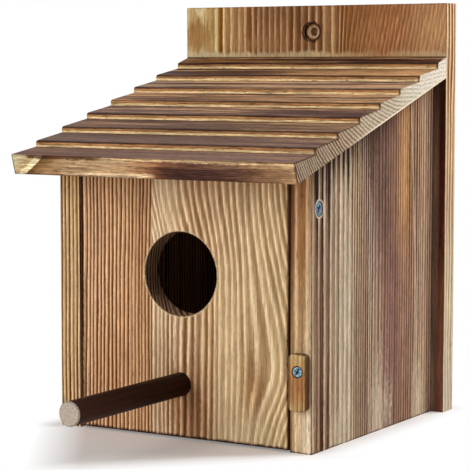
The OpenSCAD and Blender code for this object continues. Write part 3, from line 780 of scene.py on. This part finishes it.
def wood_screw(name, head, shank, length):
    """A screw with its head's face at z = 0 and its point at z = -length, all in millimetres."""
    rim, chamfer, turn_count, step = 0.4, 0.15, 32, 0.25
    thread_pitch, core, neck = shank * 0.46, shank * 0.33, shank * 0.37
    cone_foot = -rim - (head / 2 - neck)
    thread_top = -length * 0.42
    levels = [
        (0.0, head / 2 - chamfer, False), (-chamfer, head / 2, False), (-rim, head / 2, False),
        (cone_foot, neck, False), (thread_top, neck, False)]
    level = thread_top - step
    while level > -length + step:
        levels.append((level, core, True))
        level -= step
    rings = []
    for z, radius, threaded in levels:
        taper = min(1.0, (z + length) / (shank * 1.6))
        ring = []
        for number in range(turn_count):
            turn = 2 * math.pi * number / turn_count
            reach = radius
            if threaded:
                phase = (z / thread_pitch + number / turn_count) % 1.0
                crest = max(0.0, 1 - abs(phase - 0.5) / 0.3) * min(1.0, (thread_top - z) / 1.5)
                reach = (core + (shank / 2 - core) * crest) * max(taper, 0.08)
            ring.append((reach * math.cos(turn), reach * math.sin(turn), z))
        rings.append(ring)
    blank = placed(name + "_blank", skinned(name, rings, (0, 0, -length)))
    # The cross recess is cut by a plus-shaped punch that narrows toward its foot.
    arm, half = head * 0.29, head * 0.065
    corners = [(arm, -half), (arm, half), (half, half)]
    for _ in range(3):
        corners += [(-y, x) for x, y in corners[-3:]]
    face_level, face_size, foot_level, foot_size = 0.3, 1.08, -head * 0.26, 0.45
    layers = [[(x * size, y * size, z) for x, y in corners]
              for z, size in ((face_level, face_size), (foot_level, foot_size))]
    punch = placed(name + "_punch", skinned(name + "_bit", layers))
    recess = blank.modifiers.new("recess", "BOOLEAN")
    recess.operation = "DIFFERENCE"
    recess.solver = "EXACT"
    recess.object = punch
    bpy.context.view_layer.update()
    mesh = bpy.data.meshes.new_from_object(blank.evaluated_get(bpy.context.evaluated_depsgraph_get()))
    for part in (blank, punch):
        bpy.data.objects.remove(part)
    mesh.name = name
    mesh.materials.clear()
    mesh.materials.append(zinc)
    mesh.shade_smooth()
    mesh.set_sharp_from_angle(angle=math.radians(32))
    return mesh


pivot_screw = wood_screw("pivot_screw_mesh", 7, 3.5, 30)
back_screw = wood_screw("back_screw_mesh", 7, 3.5, 35)
button_screw = wood_screw("button_screw_mesh", 5.2, 2.8, 18)
driven = [
    ("left_pivot_screw", pivot_screw, (-1, 0, 0), 20), ("right_pivot_screw", pivot_screw, (1, 0, 0), 65),
    ("turn_button_screw", button_screw, (0, -1, 0), 75)]
for number, name in enumerate((
        "left_wall_screw_lower", "left_wall_screw_upper", "right_wall_screw_lower",
        "right_wall_screw_upper", "floor_screw_left", "floor_screw_right")):
    driven.append((name, back_screw, (0, 1, 0), 31 * number))
for name, mesh, outward, spin in driven:
    low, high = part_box(name)
    outward = Vector(outward)
    piece = placed(name.replace("screw", "wood_screw"), mesh)
    middle = (low + high) / 2
    piece.location = middle + outward * abs((high - low).dot(outward)) / 2
    piece.rotation_euler = outward.to_track_quat("Z", "Y").to_euler()
    piece.rotation_euler.rotate_axis("Z", math.radians(spin))
    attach(piece, "box")
    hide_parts(name)


# ---- Studio -----------------------------------------------------------------------------------
# A white table that keeps the box's soft shadow, white all round, a large soft lamp in front and
# a smaller one behind to the right. Their light is set so that a colour shows as it is written.

table = bpy.data.meshes.new("table")
shape = bmesh.new()
bmesh.ops.create_grid(shape, x_segments=8, y_segments=8, size=4.0)
shape.to_mesh(table)
table = placed("table", table)
paper = bpy.data.materials.new("white_paper")
put = emptied(paper)
spot = put("TexCoord", out=3)
# White paper is matt. Its own shading shows near the box only: close round its foot, in front of it
# between lines from its right corner and from left of the perch, and in a patch behind. Elsewhere
# the eye sees plain white.
foot_x, foot_y = wall_high.x / 1000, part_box("back_board")[1].y
outside = put("VectorMath SUBTRACT", put("VectorMath ABSOLUTE", spot), (foot_x, foot_y, 0.0))
outside = put("VectorMath LENGTH", put("VectorMath MAXIMUM", outside, (0, 0, 0)))
contact = put("MapRange", outside, 0.016, 0.0, 0.0, 0.8, interpolation_type="SMOOTHSTEP")
from_corner = put("VectorMath SUBTRACT", spot, (foot_x, -foot_y, 0.0))
cast = put("MapRange", put("VectorMath DOT_PRODUCT", from_corner, (0.69, -0.72, 0)), 0.014, -0.010)
from_perch = put("VectorMath SUBTRACT", spot, (-0.065, -0.082, 0.0))
leftward = put("VectorMath DOT_PRODUCT", from_perch, (-0.83, -0.55, 0))
cast = put("Math MULTIPLY", cast, put("MapRange", leftward, 0.016, -0.010))
cast = put("Math MULTIPLY", cast, put("MapRange", put("SeparateXYZ", spot, out=1), -0.060, -0.074))
behind = put("VectorMath MULTIPLY", put("VectorMath SUBTRACT", spot, (-0.030, 0.095, 0.0)), (16, 14, 0))
behind = put("VectorMath LENGTH", behind)
behind = put("MapRange", behind, 1.0, 0.0, 0.0, 1.0, interpolation_type="SMOOTHSTEP")
near = put("Math MAXIMUM", put("Math MAXIMUM", contact, cast), behind)
seen = put("LightPath", out=0)
diffuse = put("BsdfDiffuse", "#F3EEEC")
glow = put("Emission", (1.0, 1.0, 1.0, 1.0), 1.0)
far_white = put("Math MULTIPLY", seen, put("Math SUBTRACT", 1.0, near))
put("OutputMaterial", put("MixShader", far_white, diffuse, glow))
table.data.materials.append(paper)

world = bpy.data.worlds.new("studio")
bpy.context.scene.world = world
put = emptied(world)
seen = put("Math ADD", put("LightPath", out=0), put("LightPath", out=3))
strength = put("MapRange", seen, 0.0, 1.0, 0.42, 1.0)
put("OutputWorld", put("Background", (1.0, 1.0, 1.0, 1.0), strength))

for name, direction, distance, size, share in (
        ("front_lamp", (-0.35, -1.0, 0.42), 1.8, 1.3, 0.55),
        ("back_lamp", (0.78, 0.63, 1.15), 1.8, 0.7, 0.62)):
    data = bpy.data.lights.new(name, "AREA")
    data.size = size
    # This energy gives a white face that looks straight at the lamp its share of full white.
    data.energy = share * math.pi ** 2 * distance ** 2
    lamp = placed(name, data)
    aim = Vector(direction).normalized()
    lamp.location = Vector((0, 0, 0.1)) + aim * distance
    lamp.rotation_euler = aim.to_track_quat("Z", "Y").to_euler()

camera = placed("camera", bpy.data.cameras.new("camera"))
camera.location = (0.502399, -0.852827, 0.188063)
camera.rotation_euler = (math.radians(84.8134), 0, math.radians(31.142))
camera.data.lens = 142.042
bpy.context.scene.camera = camera
bpy.context.scene.view_settings.view_transform = "Standard"
